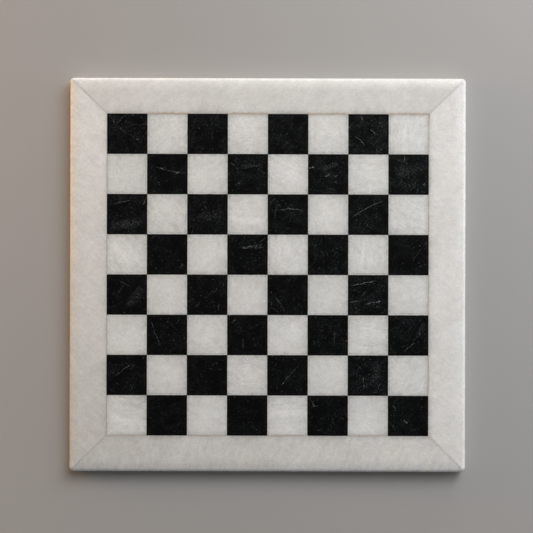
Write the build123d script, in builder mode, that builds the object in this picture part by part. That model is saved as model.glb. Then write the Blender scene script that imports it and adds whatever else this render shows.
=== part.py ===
from build123d import *
import os

# An inlaid stone chessboard, lying flat with its playing face up. Sixty-four tiles and a mitred
# border are bonded over a core slab, and a sheet of felt covers the underside. Ranks are counted
# along +X, from White's side to Black's, and files along -Y, so the a-file lies along +Y. The
# origin is the centre of the underside.

# Playing field (mm)
squares_per_side = 8
tile_size = 38.3
tile_thickness = 6.0
tile_joint = 0.3  # resin line between neighbouring tiles, and round the field

# Border (mm): the strips at the players' two ends are slightly wider than those at the flanks
player_strip_width = 35.9
flank_strip_width = 34.8
mitre_joint = 0.25
outer_corner_radius = 4.0  # in plan
top_edge_radius = 3.0
bottom_edge_radius = 1.5

# What the field and the border are bonded to (mm)
bedding_thickness = 1.0
core_thickness = 7.0
core_lap = 12.0  # how far the core slab reaches under the border strips
skirt_gap = 0.5  # resin between the slab's edge and the strips' rebate
felt_thickness = 1.5
felt_margin = 3.0  # bare stone left between the felt and the board's sides
felt_corner_radius = 6.0

# Levels of the layers above the table
core_base = felt_thickness
bedding_base = core_base + core_thickness
tile_base = bedding_base + bedding_thickness
strip_depth = core_thickness + bedding_thickness + tile_thickness

# Plan sizes, worked out from the tiles outwards
tile_pitch = tile_size + tile_joint
field_side = squares_per_side * tile_pitch + tile_joint
board_length = field_side + 2 * player_strip_width
board_width = field_side + 2 * flank_strip_width
core_side = field_side + 2 * core_lap
rebate_side = core_side + 2 * skirt_gap


def file_row(file):
    """Y of the centre line of one file, counted from 0 for the a-file."""
    return ((squares_per_side - 1) / 2 - file) * tile_pitch


def rank_column(rank):
    """X of the centre line of one rank, counted from 0 for White's first rank."""
    return (rank - (squares_per_side - 1) / 2) * tile_pitch


def tiles_of_rank(rank, corner_parity):
    """One rank's tiles of one colour: the files whose number has the asked parity against the rank's."""
    files = [file for file in range(squares_per_side) if (file + rank) % 2 == corner_parity]
    with BuildPart() as tiles:
        with BuildSketch(Plane.XY.offset(tile_base)):
            with Locations([(rank_column(rank), file_row(file)) for file in files]):
                Rectangle(tile_size, tile_size)
        extrude(amount=tile_thickness)
    return tiles


def border_ring():
    """The border before its mitres are cut: one rounded ring, rebated below for the core slab."""
    with BuildPart() as ring:
        with BuildSketch(Plane.XY.offset(core_base)):
            RectangleRounded(board_length, board_width, outer_corner_radius)
        extrude(amount=strip_depth)
        fillet(ring.faces().sort_by(Axis.Z)[-1].edges(), radius=top_edge_radius)
        fillet(ring.faces().sort_by(Axis.Z)[0].edges(), radius=bottom_edge_radius)
        with BuildSketch(Plane.XY.offset(core_base)):
            Rectangle(rebate_side, rebate_side)
        extrude(amount=core_thickness + bedding_thickness, mode=Mode.SUBTRACT)
        with BuildSketch(Plane.XY.offset(tile_base)):
            Rectangle(field_side, field_side)
        extrude(amount=tile_thickness, mode=Mode.SUBTRACT)
    return ring


def mitre_kerfs(ring):
    """The resin in the four mitres, each a thin plate from the field's corner to the board's."""
    run = Vector(board_length - field_side, board_width - field_side) / 2
    middle = Vector(field_side, field_side) / 2 + run / 2
    slant = Vector(1, 0).get_angle(run)
    with BuildPart() as kerfs:
        with BuildSketch(Plane.XY.offset(core_base)):
            for side_x, side_y in ((1, 1), (-1, 1), (-1, -1), (1, -1)):
                with Locations(Location((side_x * middle.X, side_y * middle.Y), side_x * side_y * slant)):
                    Rectangle(run.length + 2 * outer_corner_radius, mitre_joint)
        extrude(amount=strip_depth)
        add(ring.part, mode=Mode.INTERSECT)
    return kerfs


def border_strip(ring, kerfs, across_x, across_y):
    """The border strip on the side that the unit vector (across_x, across_y) points to."""
    inner = field_side / 2
    outer_x = board_length / 2
    outer_y = board_width / 2
    corners = [
        (inner, -inner) if across_x else (-inner, inner),
        (outer_x, -outer_y) if across_x else (-outer_x, outer_y),
        (outer_x, outer_y),
        (inner, inner),
    ]
    facing = across_x + across_y
    with BuildPart() as strip:
        add(ring.part)
        with BuildSketch(Plane.XY.offset(core_base)):
            with BuildLine():
                Polyline([(facing * x, facing * y) for x, y in corners], close=True)
            make_face()
        extrude(amount=strip_depth, mode=Mode.INTERSECT)
        add(kerfs.part, mode=Mode.SUBTRACT)
    return strip


def joint_lattice():
    """The resin between the tiles and round the field, flush with them above and below."""
    with BuildPart() as lattice:
        with BuildSketch(Plane.XY.offset(tile_base)):
            Rectangle(field_side, field_side)
            with GridLocations(tile_pitch, tile_pitch, squares_per_side, squares_per_side):
                Rectangle(tile_size, tile_size, mode=Mode.SUBTRACT)
        extrude(amount=tile_thickness)
    return lattice


def bedding():
    """The resin bed over the core slab, with a skirt that fills the gap round its edge."""
    with BuildPart() as bed:
        with BuildSketch(Plane.XY.offset(core_base)):
            Rectangle(rebate_side, rebate_side)
        extrude(amount=core_thickness + bedding_thickness)
        with BuildSketch(Plane.XY.offset(core_base)):
            Rectangle(core_side, core_side)
        extrude(amount=core_thickness, mode=Mode.SUBTRACT)
    return bed


def core_slab():
    """The stone slab under the tiles, reaching into the border's rebate."""
    with BuildPart() as slab:
        with BuildSketch(Plane.XY.offset(core_base)):
            Rectangle(core_side, core_side)
        extrude(amount=core_thickness)
    return slab


def felt():
    """The felt under the board, short of its rounded lower edge."""
    with BuildPart() as sheet:
        with BuildSketch():
            length = board_length - 2 * felt_margin
            width = board_width - 2 * felt_margin
            RectangleRounded(length, width, felt_corner_radius)
        extrude(amount=felt_thickness)
    return sheet


ring = border_ring()
kerfs = mitre_kerfs(ring)
pieces = {
    "border_strip_white_side": border_strip(ring, kerfs, -1, 0),
    "border_strip_black_side": border_strip(ring, kerfs, 1, 0),
    "border_strip_queenside": border_strip(ring, kerfs, 0, 1),
    "border_strip_kingside": border_strip(ring, kerfs, 0, -1),
    "mitre_joint_resin": kerfs,
    "tile_joint_resin": joint_lattice(),
    "bedding_resin": bedding(),
    "core_slab": core_slab(),
    "felt_sheet": felt(),
}
for rank in range(squares_per_side):
    pieces[f"dark_tiles_rank_{rank + 1}"] = tiles_of_rank(rank, 0)
    pieces[f"light_tiles_rank_{rank + 1}"] = tiles_of_rank(rank, 1)

os.makedirs("parts", exist_ok=True)
for name, piece in pieces.items():
    piece.part.label = name
    export_step(piece.part, f"parts/{name}.step")
board_depth = strip_depth + felt_thickness
print(f"board {board_length:.1f} x {board_width:.1f} x {board_depth:.1f} mm, {len(pieces)} nodes")
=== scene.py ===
"""Dresses the chessboard: stone tiles, a mitred stone border, resin joints and a felt underside."""

import logging
import math
import random
from abc import ABC, abstractmethod
from dataclasses import dataclass
from enum import Enum
from typing import Callable, ClassVar, Sequence, Union

import bmesh
import bpy
from mathutils import Euler, Matrix, Vector, noise


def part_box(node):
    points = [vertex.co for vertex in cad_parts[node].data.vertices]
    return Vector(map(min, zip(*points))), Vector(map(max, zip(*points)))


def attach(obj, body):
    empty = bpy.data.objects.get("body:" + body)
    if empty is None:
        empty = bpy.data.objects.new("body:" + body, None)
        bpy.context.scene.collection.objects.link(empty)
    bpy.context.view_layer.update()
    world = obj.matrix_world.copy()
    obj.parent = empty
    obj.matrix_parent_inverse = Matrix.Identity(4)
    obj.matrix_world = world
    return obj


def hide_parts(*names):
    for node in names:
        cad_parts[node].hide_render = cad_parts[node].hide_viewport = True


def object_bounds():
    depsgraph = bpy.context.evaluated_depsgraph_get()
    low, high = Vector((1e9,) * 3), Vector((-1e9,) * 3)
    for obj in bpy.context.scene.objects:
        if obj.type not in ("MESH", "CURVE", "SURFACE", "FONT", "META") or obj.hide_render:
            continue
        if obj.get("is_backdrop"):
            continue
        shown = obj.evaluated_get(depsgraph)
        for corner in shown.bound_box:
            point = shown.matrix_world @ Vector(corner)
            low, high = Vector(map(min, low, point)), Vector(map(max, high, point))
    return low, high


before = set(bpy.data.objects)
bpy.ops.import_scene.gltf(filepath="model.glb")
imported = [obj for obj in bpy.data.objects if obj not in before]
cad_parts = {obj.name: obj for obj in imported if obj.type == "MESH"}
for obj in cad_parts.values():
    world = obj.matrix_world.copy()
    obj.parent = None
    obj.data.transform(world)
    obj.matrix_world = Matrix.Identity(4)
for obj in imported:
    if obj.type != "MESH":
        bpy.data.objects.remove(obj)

log = logging.getLogger("chessboard")

MM = 0.001
UP = Vector((0.0, 0.0, 1.0))
FACET_ANGLE = 15.0  # degrees, past which polished stone shows an edge
DOUBLES = 0.002 * MM  # how close two vertices are that count as one
BLOCK_TILT = (0.35, 0.2, 0.0)  # radians, between a block of stone's grain and the board
BODY = "root"
FILES = "abcdefgh"


class Shade(Enum):
    """The two stones of the playing field."""

    DARK = "dark"
    LIGHT = "light"


class Side(Enum):
    """The four sides of the board, each with the way that it faces."""

    WHITE = ("white_side", (-1.0, 0.0))
    BLACK = ("black_side", (1.0, 0.0))
    QUEEN = ("queenside", (0.0, 1.0))
    KING = ("kingside", (0.0, -1.0))

    @property
    def label(self) -> str:
        """The side's name in the names of nodes and pieces."""
        return self.value[0]

    @property
    def outward(self) -> Vector:
        """The level direction out of the board on this side."""
        return Vector((*self.value[1], 0.0))


# --------------------------------------------------------------------------------------------
# Modelling helpers
# --------------------------------------------------------------------------------------------


def put_away_selection() -> None:
    """Leaves edit mode if it is on, and deselects every object."""
    if bpy.context.object and bpy.context.object.mode != "OBJECT":
        bpy.ops.object.mode_set(mode="OBJECT")
    bpy.ops.object.select_all(action="DESELECT")


def take_up(piece: bpy.types.Object) -> None:
    """Makes one piece the only selected object and the active one.

    Args:
        piece: The object that the next operators work on.
    """
    put_away_selection()
    piece.select_set(True)
    bpy.context.view_layer.objects.active = piece


def settle(piece: bpy.types.Object, name: str) -> bpy.types.Object:
    """Names a new piece and moves its place, turn and size into its mesh.

    Args:
        piece: The object to name, placed where it belongs.
        name: The piece's name.

    Returns:
        The same object, now at the origin, unturned and unscaled.
    """
    piece.name = piece.data.name = name
    take_up(piece)
    bpy.ops.object.transform_apply(location=True, rotation=True, scale=True)
    return piece


def copy_of(piece: bpy.types.Object, name: str) -> bpy.types.Object:
    """Copies a piece together with its mesh.

    Args:
        piece: The object to copy.
        name: The copy's name.

    Returns:
        The copy, linked to the scene.
    """
    twin = piece.copy()
    twin.data = piece.data.copy()
    twin.name = twin.data.name = name
    bpy.context.scene.collection.objects.link(twin)
    return twin


def block(name: str, low: Vector, high: Vector) -> bpy.types.Object:
    """Starts a piece as a cube primitive at its size and place.

    Args:
        name: The piece's name.
        low: The block's lowest corner.
        high: The block's highest corner.

    Returns:
        The block.
    """
    put_away_selection()
    bpy.ops.mesh.primitive_cube_add(size=1.0, location=(low + high) / 2, scale=high - low)
    return settle(bpy.context.object, name)


def grid(name: str, cells: int, side: float, centre: Sequence[float]) -> bpy.types.Object:
    """Starts a piece as a level square grid.

    Args:
        name: The piece's name.
        cells: How many cells it has each way.
        side: The grid's side.
        centre: The grid's centre.

    Returns:
        The grid.
    """
    put_away_selection()
    bpy.ops.mesh.primitive_grid_add(
        x_subdivisions=cells, y_subdivisions=cells, size=side, location=centre
    )
    return settle(bpy.context.object, name)


class Editing:
    """Edit mode on one piece, with ways to choose what is worked on and the usual operators."""

    def __init__(self, piece: bpy.types.Object) -> None:
        """Remembers the piece to edit."""
        self.piece = piece

    def __enter__(self) -> "Editing":
        """Enters edit mode with nothing selected.

        Returns:
            Itself, to work with.
        """
        take_up(self.piece)
        bpy.ops.object.mode_set(mode="EDIT")
        bpy.ops.mesh.select_all(action="DESELECT")
        return self

    def __exit__(self, *problem: object) -> None:
        """Returns to object mode."""
        bpy.ops.object.mode_set(mode="OBJECT")

    def everything(self) -> None:
        """Selects the whole mesh."""
        bpy.ops.mesh.select_all(action="SELECT")

    def _choose(self, kind: str, test: Callable[..., bool]) -> None:
        """Selects the elements that pass a test, and nothing else.

        Args:
            kind: VERT, EDGE or FACE.
            test: Says of one element whether it is wanted.
        """
        bpy.ops.mesh.select_mode(type=kind)
        bpy.ops.mesh.select_all(action="DESELECT")
        mesh = bmesh.from_edit_mesh(self.piece.data)
        mesh.normal_update()
        elements = {"VERT": mesh.verts, "EDGE": mesh.edges, "FACE": mesh.faces}[kind]
        for element in [e for e in elements if test(e)]:
            element.select_set(True)
        mesh.select_flush_mode()
        bmesh.update_edit_mesh(self.piece.data)

    def verts(self, test: Callable[[bmesh.types.BMVert], bool]) -> None:
        """Selects vertices by a test."""
        self._choose("VERT", test)

    def edges(self, test: Callable[[bmesh.types.BMEdge], bool]) -> None:
        """Selects edges by a test."""
        self._choose("EDGE", test)

    def faces(self, test: Callable[[bmesh.types.BMFace], bool]) -> None:
        """Selects faces by a test."""
        self._choose("FACE", test)

    def edges_at(self, level: float) -> None:
        """Selects the edges that lie at one level."""
        self.edges(lambda e: all(near(v.co.z, level) for v in e.verts))

    def cut(self, through: Sequence[float], normal: Sequence[float], **rest: bool) -> None:
        """Cuts the whole mesh along a plane, and by default keeps both sides."""
        self.everything()
        bpy.ops.mesh.bisect(plane_co=through, plane_no=normal, **rest)

    def cut_away(self, through: Vector, outward: Vector) -> None:
        """Cuts by a plane, drops what lies outward of it and closes the cut."""
        self.cut(through, outward, use_fill=True, clear_outer=True)

    def extrude(self, by: Sequence[float]) -> None:
        """Extrudes what is selected."""
        bpy.ops.mesh.extrude_region_move(TRANSFORM_OT_translate={"value": by})

    def bevel(self, offset: float, segments: int) -> None:
        """Bevels the selected edges."""
        bpy.ops.mesh.bevel(offset=offset, segments=segments, affect="EDGES")

    def face_outwards(self) -> None:
        """Turns every face outwards."""
        self.everything()
        bpy.ops.mesh.normals_make_consistent(inside=False)


def near(value: float, target: float, slack: float = 0.02 * MM) -> bool:
    """Says whether two lengths agree within a slack."""
    return abs(value - target) < slack


def field_half() -> float:
    """Half of the playing field's side, out to the border."""
    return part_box("tile_joint_resin")[1].x


def square_pitch() -> float:
    """The distance from one square's centre to the next."""
    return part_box("dark_tiles_rank_2")[0].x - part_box("dark_tiles_rank_1")[0].x


def smooth_by_angle(piece: bpy.types.Object, degrees: float) -> None:
    """Shades a piece smooth, with sharp edges kept past an angle."""
    take_up(piece)
    bpy.ops.object.shade_smooth_by_angle(angle=math.radians(degrees))


def mend_normals(piece: bpy.types.Object) -> None:
    """Merges a piece's doubled vertices and turns its faces outwards.

    Args:
        piece: The object to mend.
    """
    with Editing(piece) as edit:
        edit.everything()
        bpy.ops.mesh.remove_doubles(threshold=DOUBLES)
        edit.face_outwards()


# --------------------------------------------------------------------------------------------
# Patterns
# --------------------------------------------------------------------------------------------

Colour = tuple[float, float, float]
Value = Union["Pattern", float]
MOST_NOISE = (0.3, 0.7)  # the stretch that most values of a noise lie in


class Pattern:
    """A value, colour or vector that a node gives, with the sums that can be done on a value."""

    def __init__(self, graph: "Graph", socket: bpy.types.NodeSocket) -> None:
        """Remembers the graph, and the output that gives the pattern."""
        self.graph = graph
        self.socket = socket

    def __add__(self, other: Value) -> "Pattern":
        """The sum of this value and another."""
        return self.graph.maths("ADD", self, other)

    def __radd__(self, other: float) -> "Pattern":
        """The sum of a number and this value."""
        return self.graph.maths("ADD", other, self)

    def __sub__(self, other: Value) -> "Pattern":
        """What is left of this value when another is taken away."""
        return self.graph.maths("SUBTRACT", self, other)

    def __rsub__(self, other: float) -> "Pattern":
        """What is left of a number when this value is taken away."""
        return self.graph.maths("SUBTRACT", other, self)

    def __mul__(self, other: Value) -> "Pattern":
        """The product of this value and another."""
        return self.graph.maths("MULTIPLY", self, other)

    def __truediv__(self, other: Value) -> "Pattern":
        """This value divided by another."""
        return self.graph.maths("DIVIDE", self, other)

    def __abs__(self) -> "Pattern":
        """This value without its sign."""
        return self.graph.maths("ABSOLUTE", self)

    def at_least(self, other: Value) -> "Pattern":
        """The greater of two values."""
        return self.graph.maths("MAXIMUM", self, other)

    def at_most(self, other: Value) -> "Pattern":
        """The lesser of two values."""
        return self.graph.maths("MINIMUM", self, other)

    def ramp(
        self, low: float, high: float, to_low: float = 0.0, to_high: float = 1.0
    ) -> "Pattern":
        """Maps a stretch of values smoothly onto another, and holds it at both ends.

        Args:
            low: Where the stretch starts.
            high: Where it ends, which may be the lower of the two.
            to_low: What the start becomes.
            to_high: What the end becomes.

        Returns:
            The mapped value.
        """
        numbers = (high, low, to_high, to_low) if low > high else (low, high, to_low, to_high)
        inputs = dict(zip(("From Min", "From Max", "To Min", "To Max"), numbers))
        return self.graph.node(
            "ShaderNodeMapRange", {"Value": self, **inputs}, "Result",
            interpolation_type="SMOOTHSTEP",
        )


class Graph:
    """A node tree, with short ways to add to it what the finishes and the studio use."""

    def __init__(self, owner: Union[bpy.types.Material, bpy.types.World]) -> None:
        """Starts an empty tree.

        Args:
            owner: The material or room that the tree belongs to.
        """
        owner.use_nodes = True
        self.tree = owner.node_tree
        self.tree.nodes.clear()

    def feed(self, socket: bpy.types.NodeSocket, value: object) -> None:
        """Sets an input to a number, a colour or a pattern.

        Args:
            socket: The input to set.
            value: A pattern to link from, or the value itself.
        """
        if isinstance(value, Pattern):
            self.tree.links.new(value.socket, socket)
        elif socket.type == "RGBA" and len(value) == 3:
            socket.default_value = (*value, 1.0)
        else:
            socket.default_value = value

    def add(self, kind: str, inputs: dict, **settings: object) -> bpy.types.Node:
        """Adds a node.

        Args:
            kind: The node's type.
            inputs: What feeds each input, by its name or number.
            **settings: The node's properties.

        Returns:
            The node.
        """
        made = self.tree.nodes.new(kind)
        for name, value in settings.items():
            setattr(made, name, value)
        for name, value in inputs.items():
            self.feed(made.inputs[name], value)
        return made

    def node(
        self, kind: str, inputs: dict, output: Union[str, int], **settings: object
    ) -> Pattern:
        """Adds a node and gives what comes out of one of its outputs."""
        return Pattern(self, self.add(kind, inputs, **settings).outputs[output])

    def attribute(self, name: str, output: str = "Vector") -> Pattern:
        """Reads an attribute of the piece's own mesh."""
        return self.node("ShaderNodeAttribute", {}, output, attribute_name=name)

    def split(self, vector: Pattern) -> list[Pattern]:
        """Splits a vector into its three parts."""
        made = self.add("ShaderNodeSeparateXYZ", {0: vector})
        return [Pattern(self, part) for part in made.outputs]

    def place(self) -> Pattern:
        """Reads the piece's own coordinates, in metres."""
        return self.node("ShaderNodeTexCoord", {}, "Object")

    def place_in_mm(self) -> Pattern:
        """Reads the piece's own coordinates, in millimetres."""
        return self.mapped(self.place(), (1.0 / MM,) * 3)

    def from_field(self) -> Pattern:
        """Measures how far each point is from the playing field's outline, in metres."""
        x, y, _ = self.split(self.place())
        return abs(abs(x).at_least(abs(y)) - field_half())

    def nearest_square(self) -> Pattern:
        """Tells what square each point is nearest to.

        Returns:
            A value up to 1 in or beside the middle of a dark square, and down to -1 by a light one.
        """
        last = (len(FILES) - 1) / 2
        waves = []
        for distance in self.split(self.place())[:2]:
            steps = (distance / square_pitch()).at_least(-last).at_most(last)
            waves.append(self.maths("SINE", steps * math.pi))
        return waves[0] * waves[1] * -1.0

    def mapped(
        self,
        vector: Pattern,
        scale: Sequence[float] = (1.0, 1.0, 1.0),
        turn: float = 0.0,
        shift: Sequence[float] = (0.0, 0.0, 0.0),
    ) -> Pattern:
        """Scales, turns and shifts coordinates.

        Args:
            vector: The coordinates.
            scale: The scale along each axis.
            turn: The turn about Z, in degrees.
            shift: The shift along each axis.

        Returns:
            The new coordinates.
        """
        inputs = {
            "Vector": vector,
            "Scale": scale,
            "Rotation": (0.0, 0.0, math.radians(turn)),
            "Location": shift,
        }
        return self.node("ShaderNodeMapping", inputs, "Vector", vector_type="POINT")

    def noise(
        self,
        vector: Pattern,
        scale: float,
        detail: float = 2.0,
        roughness: float = 0.5,
        distortion: float = 0.0,
        output: str = "Fac",
    ) -> Pattern:
        """Adds fractal noise.

        Args:
            vector: The coordinates.
            scale: The noise's frequency.
            detail: How many octaves are added.
            roughness: How strong each octave is against the last.
            distortion: How far the pattern is swirled.
            output: Fac for one value, Color for three.

        Returns:
            The noise, from 0 to 1 about 0.5.
        """
        inputs = {
            "Vector": vector,
            "Scale": scale,
            "Detail": detail,
            "Roughness": roughness,
            "Distortion": distortion,
        }
        return self.node("ShaderNodeTexNoise", inputs, output)

    def cells(
        self, vector: Pattern, scale: float, feature: str = "F1", output: str = "Distance"
    ) -> Pattern:
        """Adds a cellular pattern.

        Args:
            vector: The coordinates.
            scale: The cells' frequency.
            feature: What is measured, such as F1 or DISTANCE_TO_EDGE.
            output: Distance, or Color for a value of its own in each cell.

        Returns:
            The pattern.
        """
        inputs = {"Vector": vector, "Scale": scale}
        return self.node("ShaderNodeTexVoronoi", inputs, output, feature=feature)

    def lot(self, vector: Pattern, scale: float) -> Pattern:
        """Draws a number from 0 to 1 for each cell of a cellular pattern."""
        colour = self.cells(vector, scale, output="Color")
        return self.node("ShaderNodeSeparateColor", {0: colour}, 0)

    def maths(
        self, operation: str, first: Value, second: Value = 0.0, clamp: bool = False
    ) -> Pattern:
        """Combines two values, and holds the result between 0 and 1 if it is clamped."""
        inputs = {0: first, 1: second}
        return self.node("ShaderNodeMath", inputs, 0, operation=operation, use_clamp=clamp)

    def blend(self, amount: Value, first: object, second: object, mode: str = "MIX") -> Pattern:
        """Mixes two colours.

        Args:
            amount: How much of the second is used.
            first: The colour under it.
            second: The colour laid on.
            mode: How they are mixed.

        Returns:
            The mixed colour.
        """
        inputs = {0: amount, 6: first, 7: second}
        return self.node("ShaderNodeMix", inputs, 2, data_type="RGBA", blend_type=mode)

    def lit(self, colour: object, factor: Pattern) -> Pattern:
        """Scales a colour's brightness by a value."""
        inputs = {0: colour, "Scale": factor}
        return self.node("ShaderNodeVectorMath", inputs, "Vector", operation="SCALE")


class Surface(Graph):
    """A material's node tree, whose one shader is wired to the output."""

    def __init__(self, material: bpy.types.Material) -> None:
        """Starts a material's tree with its shader.

        Args:
            material: The new material.
        """
        super().__init__(material)
        self.shader = self.add("ShaderNodeBsdfPrincipled", {})
        output = self.add("ShaderNodeOutputMaterial", {})
        self.tree.links.new(self.shader.outputs["BSDF"], output.inputs["Surface"])

    def shade(self, **inputs: object) -> None:
        """Feeds the shader, by its inputs' names with underscores for their spaces."""
        for name, value in inputs.items():
            self.feed(self.shader.inputs[name.replace("_", " ")], value)

    def bump(self, height: Pattern, depth: float, strength: float = 1.0) -> None:
        """Drives the shader's normal from a height.

        Args:
            height: The height, from 0 to 1.
            depth: How deep the whole range is, in metres.
            strength: How much of the bump is used.
        """
        inputs = {"Strength": strength, "Distance": depth, "Height": height}
        self.shade(Normal=self.node("ShaderNodeBump", inputs, "Normal"))


# --------------------------------------------------------------------------------------------
# Finishes
# --------------------------------------------------------------------------------------------


class Finish(ABC):
    """A finish that makes its material the first time that it is asked for."""

    name: str

    @abstractmethod
    def build(self, graph: Surface) -> None:
        """Fills in the material's node tree."""

    def material(self) -> bpy.types.Material:
        """Gives the material that every piece of this finish shares.

        Returns:
            The material, which is made at the first call.
        """
        found = bpy.data.materials.get(self.name)
        if found is None:
            found = bpy.data.materials.new(self.name)
            self.build(Surface(found))
        return found


class Stone(Finish):
    """A polished stone whose pieces hold, in their meshes, where in the block they were sawn."""

    VEINS_PER_PIECE = 3
    LEAST_BREADTH = 0.01  # millimetres, which keeps a vein that isn't there from dividing by 0

    def bent(self, graph: Surface, stone: Pattern, scale: float, reach: float) -> Pattern:
        """Swirls the coordinates in the block.

        Args:
            graph: The tree to fill in.
            stone: The coordinates in the block, in millimetres.
            scale: How fine the swirl is.
            reach: How far it moves a point, in millimetres.

        Returns:
            The swirled coordinates.
        """
        swirl = graph.noise(stone, scale, 3.0, 0.55, output="Color")
        inputs = {0: swirl, 1: (reach, reach, reach), 2: stone}
        return graph.node("ShaderNodeVectorMath", inputs, "Vector", operation="MULTIPLY_ADD")

    def vein(
        self, graph: Surface, number: int, wobble: Pattern, broken: Value = 1.0
    ) -> Pattern:
        """Draws one vein where the piece's mesh says that it runs.

        Args:
            graph: The tree to fill in.
            number: Which of the piece's veins.
            wobble: A noise about 0 that the vein wanders with.
            broken: A pattern that breaks the vein up, unless it is a broad one.

        Returns:
            How much each point belongs to the vein, below 0 where the vein is a dull one.
        """
        along, across, strength = graph.split(graph.attribute(f"vein_{number}"))
        bend, breadth, wander = graph.split(graph.attribute(f"vein_{number}_form"))
        bow = 1.0 - along * along
        middle = bow * bend + wobble * wander
        off = abs(across - middle) / breadth.at_least(self.LEAST_BREADTH)
        core = off.ramp(1.0, 0.0) * strength
        whole = breadth.ramp(0.2, 0.7, 0.55, 0.0)
        return core * graph.maths("MAXIMUM", broken, whole) * abs(along).ramp(1.0, 0.5)

    def from_each_side(self, graph: Surface) -> tuple[Pattern, Pattern]:
        """Measures how far each point is from the nearer side along X and along Y.

        Args:
            graph: The tree to fill in.

        Returns:
            The distance along X and the distance along Y, in millimetres.
        """
        inputs = {0: graph.attribute("low_sides"), 1: graph.attribute("high_sides")}
        nearest = graph.node("ShaderNodeVectorMath", inputs, "Vector", operation="MINIMUM")
        along_x, along_y, _ = graph.split(nearest)
        return along_x, along_y

    def from_sides(self, graph: Surface) -> Pattern:
        """Measures how far each point is from the tile's nearest side, in millimetres."""
        along_x, along_y = self.from_each_side(graph)
        return along_x.at_most(along_y)


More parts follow.
